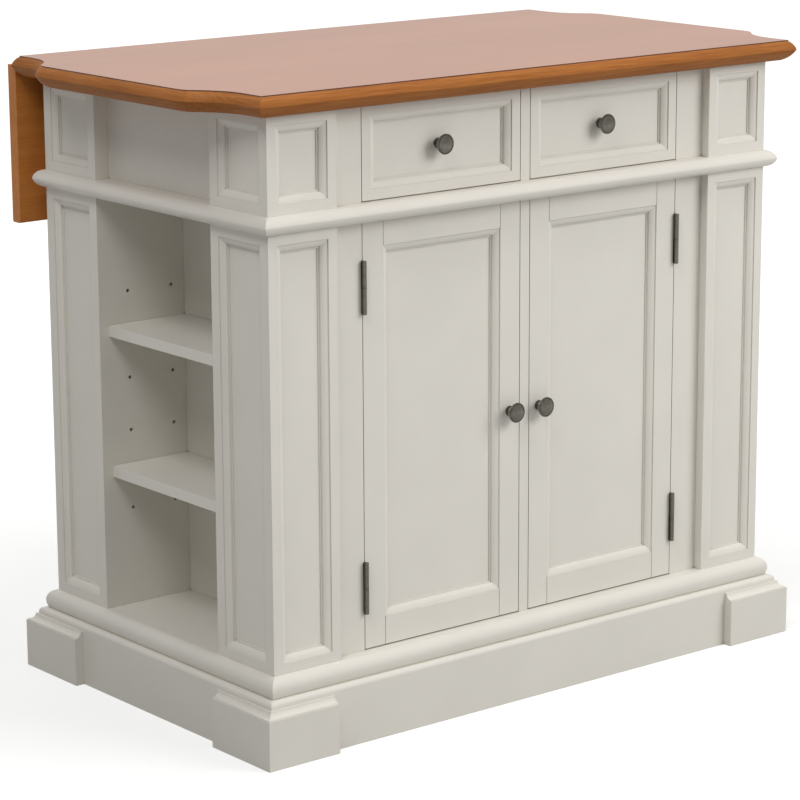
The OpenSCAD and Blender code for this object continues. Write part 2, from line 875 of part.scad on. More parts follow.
module knob_hole(t) {
    translate([0, -over, 0]) rotate([-90, 0, 0])
        cylinder(d = screw_d + 2 * fit, h = t + 2 * over);
}

module door_knob(hand) {
    color(pewter) centred() on_hand(hand)
        translate([knob_x(), face_y, door_z + door_h / 2]) knob(front_t);
}

// Half of a door hinge: a plate let into the wood and one of the two knuckles.
module hinge_half(z, moving) {
    knuckle = (barrel_h - knuckle_gap) / 2;
    z0 = moving ? z + knuckle_gap / 2 : z - barrel_h / 2;
    plate_x = moving ? -opening + reveal : -opening - plate_t;
    axis = [-opening + reveal / 2, face_y - barrel_out];
    difference() {
        union() {
            translate([axis[0], axis[1], z0]) cylinder(r = barrel_r, h = knuckle);
            translate([plate_x, axis[1], z0]) cube([plate_t, barrel_out + over, knuckle]);
            translate([plate_x, face_y, z - barrel_h / 2]) cube([plate_t, plate_d, barrel_h]);
        }
        if (moving)
            translate([axis[0], axis[1], z0 - over])
                cylinder(r = hinge_pin_r + running, h = knuckle - hinge_pin_in + over);
    }
    if (!moving)
        translate([axis[0], axis[1], z - over])
            cylinder(r = hinge_pin_r, h = knuckle - hinge_pin_in);
}

module door_hinge_frame_halves() {
    color(pewter) centred()
        for (hand = ["left", "right"], z = hinge_heights())
            on_hand(hand) hinge_half(z, false);
}

module door_hinge_halves(hand) {
    color(pewter) centred() on_hand(hand)
        for (z = hinge_heights()) hinge_half(z, true);
}

// Magnetic catches behind the doors' top corners, hung from the middle board.
module door_catches() {
    hang = mid_z - (door_z + door_h) + catch_lap;
    color(steel) centred()
        for (s = [-1, 1])
            translate([s * (half_centre + catch_in + catch_w / 2) - catch_w / 2, rear_y + fit,
                       mid_z - hang])
                cube([catch_w, catch_d, hang]);
}

// ---------- drawers ----------

module drawer_front(hand) {
    color(paint) centred() on_hand(hand)
        difference() {
            translate([-door_x - door_w / 2, face_y, drawer_z]) cube([door_w, front_t, drawer_h]);
            translate([-door_x, face_y, drawer_mid])
                sunk_panel(door_w - 2 * margin_front, drawer_h - 2 * margin_front);
            translate([-door_x, face_y, drawer_mid]) knob_hole(front_t);
        }
}

module drawer_box(hand) {
    groove_h = runner_h + 2 * fit;
    color(inner_paint) centred() on_hand(hand)
        difference() {
            translate([-box_mid - box_w / 2, rear_y, box_z]) cube([box_w, box_len, box_h]);
            translate([-box_mid - box_w / 2 + box_t, rear_y + box_t, box_z + box_lift + box_floor])
                cube([box_w - 2 * box_t, box_len - 2 * box_t, box_h]);
            translate([-box_mid - box_w / 2 + box_t, rear_y + box_t, box_z - over])
                cube([box_w - 2 * box_t, box_len - 2 * box_t, box_lift + over]);
            for (x = [-box_mid - box_w / 2 - over, -box_mid + box_w / 2 - runner_bite - fit])
                translate([x, runner_y - fit, runner_z - groove_h / 2])
                    cube([runner_bite + fit + over, box_len, groove_h]);
            translate([-box_mid, rear_y - over, drawer_mid]) rotate([-90, 0, 0])
                cylinder(d = screw_head_d + 2 * over, h = box_t + 2 * over);
        }
}

module drawer_knob(hand) {
    color(pewter) centred() on_hand(hand)
        translate([-door_x, face_y + sunk, drawer_mid]) knob(front_t - sunk);
}

module drawer_runners() {
    outer = partition_x - board_t;
    color(surface_wood) centred()
        for (hand = ["left", "right"]) on_hand(hand) {
            translate([-outer, runner_y, runner_z - runner_h / 2])
                cube([outer - box_x1 + runner_bite, runner_len, runner_h]);
            translate([-box_x0 - runner_bite, runner_y, runner_z - runner_h / 2])
                cube([box_x0 + runner_bite - half_centre, runner_len, runner_h]);
        }
}

// ---------- drop leaf ----------

function leaf_hinge_places() = [-leaf_hinge_x, 0, leaf_hinge_x];

module leaf_section() {
    r = leaf_round;
    translate([leaf_in, leaf_top - leaf_h + r]) square([leaf_t, leaf_h - r]);
    translate([leaf_in + r, leaf_top - leaf_h]) square([leaf_t - 2 * r, leaf_h]);
    for (y = [leaf_in + r, leaf_out - r])
        translate([y, leaf_top - leaf_h + r]) circle(r);
}

module along_x(len) {
    translate([-len / 2, 0, 0]) rotate([90, 0, 90]) linear_extrude(len) children();
}

module drop_leaf() {
    w = leaf_hinge_w + 2 * fit;
    color(leaf_wood) centred()
        difference() {
            along_x(leaf_w) leaf_section();
            for (x = leaf_hinge_places()) translate([x - w / 2, 0, 0]) {
                translate([0, leaf_in - over, leaf_top - notch_down])
                    cube([w, notch_in + over, notch_down + over]);
                translate([0, leaf_in - over, leaf_top - leaf_plate_h])
                    cube([w, plate_t + over, leaf_plate_h]);
            }
        }
}

// The leaf's side of the hinges, and the ears that carry the stays.
module leaf_fittings() {
    side_w = leaf_hinge_w / 3;
    color(steel) centred() {
        for (x = leaf_hinge_places()) translate([x, 0, 0]) {
            translate([-leaf_hinge_w / 2, leaf_in, leaf_top - leaf_plate_h])
                cube([leaf_hinge_w, plate_t, leaf_plate_h - notch_down]);
            for (s = [-1, 1]) translate([s * side_w, 0, 0]) {
                translate([0, pivot_y, pivot_z]) rotate([0, 90, 0])
                    cylinder(r = leaf_barrel_r, h = side_w - 2 * fit, center = true);
                translate([-side_w / 2 + fit, leaf_in, pivot_z - notch_down])
                    cube([side_w - 2 * fit, plate_t, notch_down]);
            }
            translate([0, pivot_y, pivot_z]) rotate([0, 90, 0])
                cylinder(r = leaf_pin_r, h = leaf_hinge_w - 4 * fit, center = true);
        }
        for (hand = ["left", "right"]) on_hand(hand) translate([-stay_x, 0, 0]) {
            translate([ear_x, leaf_in - ear_t, stay_b[1] - foot_h / 2])
                cube([foot_w, ear_t, foot_h]);
            translate([ear_x, 0, 0]) along_plane(ear_t) ear(stay_b, leaf_in - ear_t, foot_h / 2);
            translate([stay_gap / 2, stay_b[0], stay_b[1]]) rotate([0, 90, 0])
                cylinder(r = rivet_r, h = ear_x + ear_t + rivet_end);
        }
    }
}

// Extrudes a drawing made in Y and Z along +X.
module along_plane(t) {
    rotate([90, 0, 90]) linear_extrude(t) children();
}

// An ear: a round end at p and a straight root of the given length on the line y = root.
module ear(p, root, len) {
    dir = root > p[0] ? 1 : -1;
    translate(p) circle(eye_r);
    polygon([[p[0], p[1] - eye_r], [p[0], p[1] + eye_r],
             [root + dir, p[1] + len / 2], [root + dir, p[1] - len / 2]]);
}

// The cabinet's side of the leaf hinges: a knuckle, a strip down behind the edge
// moulding and a foot under the worktop.
module leaf_hinge_plates() {
    w = leaf_hinge_w / 3;
    strip_y = leaf_in - 2 * running - strip_t;
    foot_y = body_d + rear_gap;
    color(steel) centred()
        for (x = leaf_hinge_places()) translate([x, 0, 0]) {
            difference() {
                union() {
                    translate([0, pivot_y, pivot_z]) rotate([0, 90, 0])
                        cylinder(r = leaf_barrel_r, h = w - 2 * fit, center = true);
                    translate([-w / 2 + fit, strip_y, pivot_z - strip_t])
                        cube([w - 2 * fit, pivot_y - strip_y, strip_t]);
                }
                translate([0, pivot_y, pivot_z]) rotate([0, 90, 0])
                    cylinder(r = leaf_pin_r + running, h = w, center = true);
            }
            translate([-w / 2 + fit, strip_y, under_top - plate_t])
                cube([w - 2 * fit, strip_t, pivot_z - under_top + plate_t]);
            translate([-leaf_hinge_w / 2, foot_y, under_top - plate_t])
                cube([leaf_hinge_w, strip_y + strip_t - foot_y, plate_t]);
        }
}

// ---------- stays ----------

// Where two circles meet, on the side where the folded knee hangs.
function knee(a, b, ra, rb) =
    let (
        d = norm(b - a),
        along = (ra * ra - rb * rb + d * d) / (2 * d),
        off = sqrt(ra * ra - along * along),
        u = (b - a) / d
    )
    a + along * u + off * [u[1], -u[0]];

stay_knee = knee(stay_a, stay_b, stay_long, stay_short);

// A flat link with a hole at its pivot p and its own half of the knee rivet at q.
module link(p, q, x, head_x) {
    d = norm(q - p);
    a = atan2(q[1] - p[1], q[0] - p[0]);
    difference() {
        translate([x, 0, 0]) along_plane(link_t) {
            translate(p) circle(eye_r);
            translate(q) circle(eye_r);
            translate(p) rotate(a) translate([0, -link_w / 2]) square([d, link_w]);
        }
        translate([x - over, p[0], p[1]]) rotate([0, 90, 0])
            cylinder(r = rivet_r + running, h = link_t + 2 * over);
    }
    translate([head_x, q[0], q[1]]) rotate([0, 90, 0]) 
        cylinder(r = rivet_head_r, h = rivet_head_t);
}

module stay_long_links() {
    color(steel) centred()
        for (hand = ["left", "right"]) on_hand(hand) translate([-stay_x, 0, 0])
            link(stay_a, stay_knee, -stay_gap - link_t, -stay_gap - link_t - rivet_head_t);
}

module stay_short_links() {
    color(steel) centred()
        for (hand = ["left", "right"]) on_hand(hand) translate([-stay_x, 0, 0])
            link(stay_b, stay_knee, stay_gap, stay_gap + link_t);
}

module stay_brackets() {
    color(steel) centred()
        for (hand = ["left", "right"]) on_hand(hand) translate([-stay_x, 0, 0]) {
            translate([-ear_x - foot_w, back_face, stay_a[1] - foot_h / 2])
                cube([foot_w, ear_t, foot_h]);
            translate([-ear_x - ear_t, 0, 0])
                along_plane(ear_t) ear(stay_a, back_face + ear_t, foot_h);
            translate([-ear_x - ear_t - rivet_end, stay_a[0], stay_a[1]]) rotate([0, 90, 0])
                cylinder(r = rivet_r, h = ear_x + ear_t + rivet_end - stay_gap / 2);
        }
}

// ---------- pieces ----------

skirt("front");  // skirt_front
skirt("back");  // skirt_back
skirt("left");  // skirt_left
skirt("right");  // skirt_right
plinth_blocks();
base_moulding("front");  // base_moulding_front
base_moulding("back");  // base_moulding_back
base_moulding("left");  // base_moulding_left
base_moulding("right");  // base_moulding_right
bottom_board();
pilaster("left", false);  // pilaster_front_left
pilaster("right", false);  // pilaster_front_right
pilaster("left", true);  // pilaster_back_left
pilaster("right", true);  // pilaster_back_right
partition("left");  // partition_left
partition("right");  // partition_right
middle_board();
waist_moulding("front");  // waist_moulding_front
waist_moulding("back");  // waist_moulding_back
waist_moulding("left");  // waist_moulding_left
waist_moulding("right");  // waist_moulding_right
end_apron("left");  // end_apron_left
end_apron("right");  // end_apron_right
back_panel();
face_stile("left");  // face_stile_left
face_stile("right");  // face_stile_right
face_stile_centre();
drawer_partitions();
top_stretchers();
worktop_board();
worktop_edging();
bay_shelf("left", lower_row);  // bay_shelf_left_lower
bay_shelf("left", upper_row);  // bay_shelf_left_upper
bay_shelf("right", lower_row);  // bay_shelf_right_lower
bay_shelf("right", upper_row);  // bay_shelf_right_upper
inside_shelf();
shelf_pins();
drawer_runners();
door_hinge_frame_halves();
door_catches();
leaf_hinge_plates();
stay_brackets();
door_frame("left");  // left_door_frame
door_panel("left");  // left_door_panel
door_knob("left");  // left_door_knob
door_hinge_halves("left");  // left_door_hinge_halves
door_frame("right");  // right_door_frame
door_panel("right");  // right_door_panel
door_knob("right");  // right_door_knob
door_hinge_halves("right");  // right_door_hinge_halves
drawer_front("left");  // left_drawer_front
drawer_box("left");  // left_drawer_box
drawer_knob("left");  // left_drawer_knob
drawer_front("right");  // right_drawer_front
drawer_box("right");  // right_drawer_box
drawer_knob("right");  // right_drawer_knob
drop_leaf();
leaf_fittings();
stay_long_links();
stay_short_links();
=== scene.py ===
import json
import math

import bmesh
import bpy
from mathutils import Matrix, Vector


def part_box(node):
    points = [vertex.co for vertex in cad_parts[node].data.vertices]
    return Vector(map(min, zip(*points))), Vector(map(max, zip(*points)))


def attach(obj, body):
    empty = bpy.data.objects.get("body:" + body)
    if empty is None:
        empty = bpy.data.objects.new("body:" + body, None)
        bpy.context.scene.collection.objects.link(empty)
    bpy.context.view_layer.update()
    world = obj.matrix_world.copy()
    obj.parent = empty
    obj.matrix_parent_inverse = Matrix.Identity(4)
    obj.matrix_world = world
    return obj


bl_info = {
    "name": "Drop Leaf Kitchen Island",
    "version": (1, 0, 0),
    "blender": (4, 5, 0),
    "location": "View3D > Sidebar > Island",
    "description": "Finishes, knobs and fixings of a painted kitchen island with a drop leaf",
    "category": "Object",
}

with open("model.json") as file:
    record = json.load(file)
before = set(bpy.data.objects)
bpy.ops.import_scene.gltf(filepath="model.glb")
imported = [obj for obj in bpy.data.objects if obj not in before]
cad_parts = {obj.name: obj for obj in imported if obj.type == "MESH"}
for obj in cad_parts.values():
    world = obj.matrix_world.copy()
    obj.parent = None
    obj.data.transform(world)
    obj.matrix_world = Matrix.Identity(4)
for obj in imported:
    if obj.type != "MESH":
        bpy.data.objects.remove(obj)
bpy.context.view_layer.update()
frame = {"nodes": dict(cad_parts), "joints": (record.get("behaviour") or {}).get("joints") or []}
MM = 0.001

# Nodes by what they are finished with.
STEEL_NODES = ["shelf_pins", "door_catches", "leaf_hinge_plates", "stay_brackets",
               "leaf_fittings", "stay_long_links", "stay_short_links"]
HINGE_NODES = ["door_hinge_frame_halves", "left_door_hinge_halves", "right_door_hinge_halves"]
KNOBS = {"left_door": "left_door_knob", "right_door": "right_door_knob",
         "left_drawer": "left_drawer_knob", "right_drawer": "right_drawer_knob"}
# Screws: node, body, the ways the heads look, count in a row, head radius and rise in mm.
SCREWS = [("leaf_hinge_plates", "cabinet", [(0, 0, -1)], 3, 3.4, 0.9),
          ("leaf_fittings", "leaf", [(0, -1, 0)], 3, 3.4, 0.9),
          ("stay_brackets", "cabinet", [(0, 1, 0)], 2, 3.2, 0.9),
          ("door_catches", "cabinet", [(0, 0, -1)], 2, 2.6, 0.7),
          ("door_hinge_frame_halves", "cabinet", [(1, 0, 0), (-1, 0, 0)], 3, 2.4, 0.25),
          ("left_door_hinge_halves", "left_door", [(-1, 0, 0)], 3, 2.4, 0.25),
          ("right_door_hinge_halves", "right_door", [(1, 0, 0)], 3, 2.4, 0.25)]
BIRCH_NODES = ["left_drawer_box", "right_drawer_box", "drawer_runners"]
WOOD_NODES = ["worktop_board", "worktop_edging", "drop_leaf"]

# Sizes of the other fixings, in metres.
KNOB_SCREW_RADIUS, KNOB_SCREW_RISE = 4.2 * MM, 1.6 * MM
# Strike: from the cabinet's middle, then below the door's upper edge, then into and out of it.
STRIKE_NEAR, STRIKE_FAR = 22 * MM, 55 * MM
STRIKE_BOTTOM, STRIKE_TOP = 8 * MM, 0.8 * MM
STRIKE_SUNK, STRIKE_PROUD, STRIKE_EASE = 0.1 * MM, 0.2 * MM, 0.08 * MM
# Washer between the knuckles of a door hinge.
WASHER_INNER, WASHER_OUTER, WASHER_HEIGHT = 2.4 * MM, 3.42 * MM, 0.8 * MM
# Magnet: in from the catch's ends, up from its underside, out of and into its face.
MAGNET_INSET, MAGNET_BOTTOM, MAGNET_TOP = 6 * MM, 2 * MM, 6.5 * MM
MAGNET_PROUD, MAGNET_DEPTH, MAGNET_EASE = 0.06 * MM, 1 * MM, 0.05 * MM

# Soft boxes: name, place, target, size in metres, watts, and if reflections show them.
# From behind, the glossy worktop would mirror the key as a patch of plain white.
LAMPS = [("key", (2.6, -3.7, 2.9), (0, 0, 0.45), (3.2, 2.6), 160, False),
         ("top", (0.2, 0.2, 4.2), (0, 0, 0.6), (3.0, 3.0), 66, True),
         ("fill", (-2.5, -1.3, 3.8), (-0.3, 0, 0.5), (1.6, 1.6), 69, True)]
FLOOR_REACH = 30  # metres from the middle to each side of the floor
SENSOR_WIDTH = 36  # millimetres
CLIP_END = 100  # metres

# Reading the CAD meshes: steps per metre in which points and planes are matched, and the
# cosine above which a face looks along a direction.
POINT_STEPS, PLANE_STEPS, SAME_WAY = 1e5, 1e4, 0.999
HEAD_SIDES, WASHER_SIDES = 24, 32


# ---------- small tools ----------

def linear(hex_colour):
    """sRGB hex to the linear colour that Blender's sockets take."""
    parts = [int(hex_colour[i:i + 2], 16) / 255 for i in (1, 3, 5)]
    return tuple(c / 12.92 if c <= 0.04045 else ((c + 0.055) / 1.055) ** 2.4 for c in parts)


def add(tree, kind, inputs=None, stops=(), **settings):
    """Adds a node, sets its properties and colour stops, and fills or links its inputs."""
    node = tree.nodes.new(kind)
    for name, value in settings.items():
        setattr(node, name, value)
    for key, value in (inputs or {}).items():
        socket = node.inputs[key]
        if isinstance(value, bpy.types.NodeSocket):
            tree.links.new(value, socket)
        elif socket.type == "RGBA":
            socket.default_value = (*value[:3], 1.0)
        else:
            socket.default_value = value
    if stops:
        for element, (position, colour) in zip(node.color_ramp.elements, stops, strict=True):
            element.position = position
            element.color = (*colour[:3], 1.0)
    return node


def new_material(name):
    """A bare material with its shader and the object's own coordinates in metres."""
    material = bpy.data.materials.new(name)
    material.use_nodes = True
    tree = material.node_tree
    tree.nodes.clear()
    shader = add(tree, "ShaderNodeBsdfPrincipled")
    add(tree, "ShaderNodeOutputMaterial", {"Surface": shader.outputs["BSDF"]})
    place = add(tree, "ShaderNodeTexCoord").outputs["Object"]
    return material, tree, shader, place


def tinted(tree, base, factor, stops):
    """A base colour multiplied by the tint that a factor picks between two stops."""
    tint = add(tree, "ShaderNodeValToRGB", {"Fac": factor}, stops).outputs["Color"]
    return add(tree, "ShaderNodeMix", {0: 1.0, 6: base, 7: tint}, data_type="RGBA",
               blend_type="MULTIPLY").outputs[2]


def noise(tree, place, size, stretch=(1, 1, 1), detail=4, rough=0.5):
    """Noise whose features are about `size` metres, longer along an axis by `stretch`."""
    scale = Vector(1 / (size * s) for s in stretch)
    mapped = add(tree, "ShaderNodeMapping", {"Vector": place, "Scale": scale})
    return add(tree, "ShaderNodeTexNoise",
               {"Vector": mapped.outputs["Vector"], "Scale": 1.0, "Detail": detail,
                "Roughness": rough}).outputs["Fac"]


def bump(tree, shader, height, depth, strength=1.0, radius=0.0):
    """Fine relief of `depth` metres, on edges that are eased by `radius` metres."""
    inputs = {"Height": height, "Distance": depth, "Strength": strength}
    if radius:
        inputs["Normal"] = add(tree, "ShaderNodeBevel", {"Radius": radius},
                               samples=4).outputs["Normal"]
    node = add(tree, "ShaderNodeBump", inputs)
    tree.links.new(node.outputs["Normal"], shader.inputs["Normal"])


def seen_rays(tree):
    """One for the rays that show a thing: camera, glossy and transmission rays."""
    path = add(tree, "ShaderNodeLightPath")
    seen = path.outputs["Is Camera Ray"]
    for kind in ("Is Glossy Ray", "Is Transmission Ray"):
        seen = add(tree, "ShaderNodeMath", {0: seen, 1: path.outputs[kind]},
                   operation="MAXIMUM").outputs[0]
    return seen


# ---------- materials ----------

def sprayed_lacquer(name, colour, crevice_shade):
    """Lacquer sprayed on hardwood: satin, faintly clouded, with painted shade in corners and
    where panels meet.
    """
    material, tree, shader, place = new_material(name)
    # Passes of the spray gun leave clouds about 90 mm across.
    cloud = noise(tree, place, 0.09, detail=3)
    # Painted shade in the corners of the mouldings and where boards meet, about 7 mm wide: spots
    # that nearby parts hide are tinted darker.
    hidden = add(tree, "ShaderNodeAmbientOcclusion", {"Distance": 0.007}, samples=8)
    base = add(tree, "ShaderNodeValToRGB", {"Fac": cloud},
               [(0.3, [c * 0.965 for c in colour]), (0.7, colour)]).outputs["Color"]
    base = tinted(tree, base, hidden.outputs["AO"], [(0.2, crevice_shade), (0.55, (1, 1, 1))])
    tree.links.new(base, shader.inputs["Base Color"])
    shader.inputs["Roughness"].default_value = 0.42
    shader.inputs["IOR"].default_value = 1.48
    # Spray leaves a slight orange peel, about 1.5 mm from crest to crest.
    peel = noise(tree, place, 0.0015, detail=2)
    bump(tree, shader, peel, 0.00006, 0.5, radius=0.0009)
    return material


def grain_wood(name, dark, light, along, gloss, ring=0.006, pore=0.0009, strength=1.0,
               sheen=0.5, joint_shade_reach=0.0):
    """Stained hardwood under lacquer: long grain along one axis with fine open pores.

    `ring` and `pore` are the widths of growth rings and pores in metres. Real pores of about
    0.2 mm are too fine to show, so they are drawn several times as coarse. The last argument is
    how far painted shade reaches out of a joint: spots that nearby parts hide are darkened.
    """
    material, tree, shader, place = new_material(name)

    def lengthened(times):
        return [times if axis == along else 1 for axis in "XYZ"]

    figure = noise(tree, place, ring, lengthened(24), detail=5, rough=0.62)
    fibre = noise(tree, place, pore, lengthened(40), detail=3)
    # Boards glued side by side differ in tone over about 120 mm.
    drift = noise(tree, place, 0.12, lengthened(3), detail=2)
    both = add(tree, "ShaderNodeMath", {0: figure, 1: fibre}, operation="ADD").outputs[0]
    half = add(tree, "ShaderNodeMath", {0: both, 1: 0.5}, operation="MULTIPLY").outputs[0]
    spread = 0.12 / strength
    tone = add(tree, "ShaderNodeValToRGB", {"Fac": half},
               [(0.5 - spread, dark), (0.5 + spread, light)]).outputs["Color"]
    tone = tinted(tree, tone, drift, [(0.35, [0.9] * 3), (0.65, [1.0] * 3)])
    # Painted shade: spots that nearby parts hide within this reach are made darker, down to
    # about a third.
    if joint_shade_reach:
        hidden = add(tree, "ShaderNodeAmbientOcclusion", {"Distance": joint_shade_reach}, samples=8)
        tone = tinted(tree, tone, hidden.outputs["AO"], [(0.35, [0.35] * 3), (0.7, [1.0] * 3)])
    tree.links.new(tone, shader.inputs["Base Color"])
    shader.inputs["Roughness"].default_value = gloss
    shader.inputs["IOR"].default_value = 1.5
    shader.inputs["Specular IOR Level"].default_value = sheen
    bump(tree, shader, fibre, 0.00005, 0.4, radius=0.0007)
    return material


def antique_pewter(name, colour):
    """Cast zinc, pewter plated and rubbed back: soft metal shine, darker in the patches that
    were not rubbed.
    """
    material, tree, shader, place = new_material(name)
    # The rubbed patches are about 4 mm across.
    wear = noise(tree, place, 0.004, detail=4)
    tone = add(tree, "ShaderNodeValToRGB", {"Fac": wear},
               [(0.3, [c * 0.7 for c in colour]), (0.7, colour)])
    tree.links.new(tone.outputs["Color"], shader.inputs["Base Color"])
    shader.inputs["Metallic"].default_value = 1.0
    rough = add(tree, "ShaderNodeMapRange", {"Value": wear, "To Min": 0.24, "To Max": 0.38})
    tree.links.new(rough.outputs["Result"], shader.inputs["Roughness"])
    bump(tree, shader, wear, 0.00003, 0.3, radius=0.0003)
    return material


def finished_steel(name, colour):
    """Pressed steel with a plated or blackened skin: even, satin and finely brushed."""
    material, tree, shader, place = new_material(name)
    # Brush marks are about 0.1 mm apart, drawn six times as coarse to show at all.
    brush = noise(tree, place, 0.0006, (20, 1, 1), detail=3)
    tone = add(tree, "ShaderNodeValToRGB", {"Fac": brush},
               [(0.3, [c * 0.86 for c in colour]), (0.7, colour)])
    tree.links.new(tone.outputs["Color"], shader.inputs["Base Color"])
    shader.inputs["Metallic"].default_value = 1.0
    shader.inputs["Roughness"].default_value = 0.34
    bump(tree, shader, brush, 0.00002, 0.3, radius=0.0003)
    return material


def paper_floor(name):
    """Matt studio paper: plain and pale, white to the camera where no shadow falls."""
    material, tree, shader, place = new_material(name)
    shader.inputs["Base Color"].default_value = (*linear("#B2B2B0"), 1.0)
    shader.inputs["Roughness"].default_value = 0.9
    shader.inputs["Specular IOR Level"].default_value = 0.0
    # Near the object the paper glows less, so that its shadow stays.
    far = add(tree, "ShaderNodeVectorMath", {0: place}, operation="LENGTH").outputs["Value"]
    rise = add(tree, "ShaderNodeMapRange", {"Value": far, "From Min": 0.7, "From Max": 2.6,
                                            "To Min": 0.6, "To Max": 1.0}).outputs["Result"]
    glow = add(tree, "ShaderNodeMath", {0: seen_rays(tree), 1: rise},
               operation="MULTIPLY").outputs[0]
    light = add(tree, "ShaderNodeEmission", {"Color": (1, 1, 1), "Strength": glow})
    both = add(tree, "ShaderNodeAddShader",
               {0: shader.outputs["BSDF"], 1: light.outputs["Emission"]})
    out = next(node for node in tree.nodes if node.type == "OUTPUT_MATERIAL")
    tree.links.new(both.outputs["Shader"], out.inputs["Surface"])
    return material


def dress(node, material, special=None, where=None):
    """Gives a CAD node one material, and a special one to the faces that `where` picks."""
    mesh = frame["nodes"][node].data
    mesh.materials.clear()
    mesh.materials.append(material)
    if special:
        mesh.materials.append(special)
    for polygon in mesh.polygons:
        polygon.material_index = 1 if where and where(polygon) else 0


def solids(node):
    """The faces of each separate solid of a CAD node, as lists of polygons."""
    mesh = frame["nodes"][node].data
    spots = {}
    owner = list(range(len(mesh.vertices)))

    def root(i):
        while owner[i] != i:
            owner[i] = owner[owner[i]]
            i = owner[i]
        return i

    for vertex in mesh.vertices:
        spot = tuple(round(c * POINT_STEPS) for c in vertex.co)
        owner[vertex.index] = spots.setdefault(spot, vertex.index)
    for polygon in mesh.polygons:
        first = root(polygon.vertices[0])
        for other in polygon.vertices[1:]:
            owner[root(other)] = first
    groups = {}
    for polygon in mesh.polygons:
        groups.setdefault(root(polygon.vertices[0]), []).append(polygon)
    return list(groups.values())


def box_of(node, polygons):
    """Lower and upper corner of some faces of a CAD node, in world coordinates."""
    holder = frame["nodes"][node]
    points = [holder.matrix_world @ holder.data.vertices[i].co
              for polygon in polygons for i in polygon.vertices]
    return (Vector(map(min, zip(*points))), Vector(map(max, zip(*points))))


def flat_faces(node, direction):
    """The box of the largest flat face along `direction`, for each solid of a node."""
    holder = frame["nodes"][node]
    found = []
    for solid in solids(node):
        planes = {}
        for polygon in solid:
            if (holder.matrix_world.to_3x3() @ polygon.normal).dot(direction) > SAME_WAY:
                level = (holder.matrix_world @ polygon.center).dot(direction)
                planes.setdefault(round(level * PLANE_STEPS), []).append(polygon)
        if planes:
            largest = max(planes.values(), key=lambda plane: sum(p.area for p in plane))
            found.append(box_of(node, largest))
    return found


# ---------- meshes ----------

def piece(name, bm, material, body, smooth=True):
    """Turns a bmesh into a named object with a material that moves with a body."""
    mesh = bpy.data.meshes.new(name)
    bmesh.ops.recalc_face_normals(bm, faces=bm.faces)
    bm.to_mesh(mesh)
    bm.free()
    mesh.materials.append(material)
    for polygon in mesh.polygons:
        polygon.use_smooth = smooth
    made = bpy.data.objects.new(name, mesh)
    bpy.context.scene.collection.objects.link(made)
    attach(made, body)


def screw_head(bm, place, direction, radius, rise):
    """Adds a screw head with a cross recess that stands `rise` above its plate."""
    start = len(bm.verts)
    arm = 0.16 * radius
    crown_radius = 0.82 * radius
    angles = [2 * math.pi * i / HEAD_SIDES for i in range(HEAD_SIDES)]
    ring = [(math.cos(a), math.sin(a)) for a in angles]
    rim = [bm.verts.new((radius * x, radius * y, 0)) for x, y in ring]
    crown = [bm.verts.new((crown_radius * x, crown_radius * y, rise)) for x, y in ring]
    # Half the width of the recess is one arm, and it reaches 3.4 of them from the middle.
    cross = [Matrix.Rotation(quarter * math.pi / 2, 2) @ Vector(corner) * arm
             for quarter in range(4) for corner in ((1, 1), (1, 3.4), (-1, 3.4))]
    mouth = [bm.verts.new((p.x, p.y, rise)) for p in cross]
    pit = [bm.verts.new((p.x * 0.6, p.y * 0.6, 0.15 * rise)) for p in cross]
    for lower, upper in ((rim, crown), (pit, mouth)):
        for i in range(len(lower)):
            j = (i + 1) % len(lower)
            bm.faces.new((lower[i], lower[j], upper[j], upper[i]))
    bm.faces.new(pit)
    bm.faces.new(rim)
    edges = [bm.edges.get((loop[i - 1], loop[i])) for loop in (crown, mouth)
             for i in range(len(loop))]
    bmesh.ops.triangle_fill(bm, edges=edges, use_beauty=True, normal=(0, 0, 1))
    bm.verts.ensure_lookup_table()
    turn = Vector((0, 0, 1)).rotation_difference(direction).to_matrix().to_4x4()
    bmesh.ops.transform(bm, matrix=Matrix.Translation(place) @ turn, verts=bm.verts[start:])


def screw_row(bm, box, direction, count, radius, rise):
    """Spreads screw heads over a flat face, in a row along its longest side."""
    low, high = box
    size = high - low
    axis = max(range(3), key=lambda i: size[i])
    for i in range(count):
        place = (low + high) / 2
        place[axis] = low[axis] + size[axis] * (i + 0.5) / count
        screw_head(bm, place, direction, radius, rise)


def eased_plate(bm, low, high, ease):
    """Adds a pressed plate between two corners, with its edges rounded by `ease`."""
    made = bmesh.ops.create_cube(bm, size=1, matrix=Matrix.LocRotScale(
        (low + high) / 2, None, high - low))
    edges = list({edge for vertex in made["verts"] for edge in vertex.link_edges})
    bmesh.ops.bevel(bm, geom=edges, offset=ease, segments=2, affect="EDGES", profile=0.5,
                    clamp_overlap=True)


def washer(bm, centre, inner, outer, height):
    """Adds an upright washer with rounded rims around `centre`."""
    rim = 0.3 * height
    outline = [(inner, -height / 2), (outer - rim, -height / 2), (outer, rim - height / 2),
               (outer, height / 2 - rim), (outer - rim, height / 2), (inner, height / 2)]
    rings = []
    for step in range(WASHER_SIDES):
        angle = 2 * math.pi * step / WASHER_SIDES
        rings.append([bm.verts.new(centre + Vector((radius * math.cos(angle),
                                                    radius * math.sin(angle), level)))
                      for radius, level in outline])
    for step in range(WASHER_SIDES):
        here, after = rings[step - 1], rings[step]
        for i in range(len(outline)):
            bm.faces.new((here[i - 1], after[i - 1], after[i], here[i]))


# ---------- settings that a user can change ----------

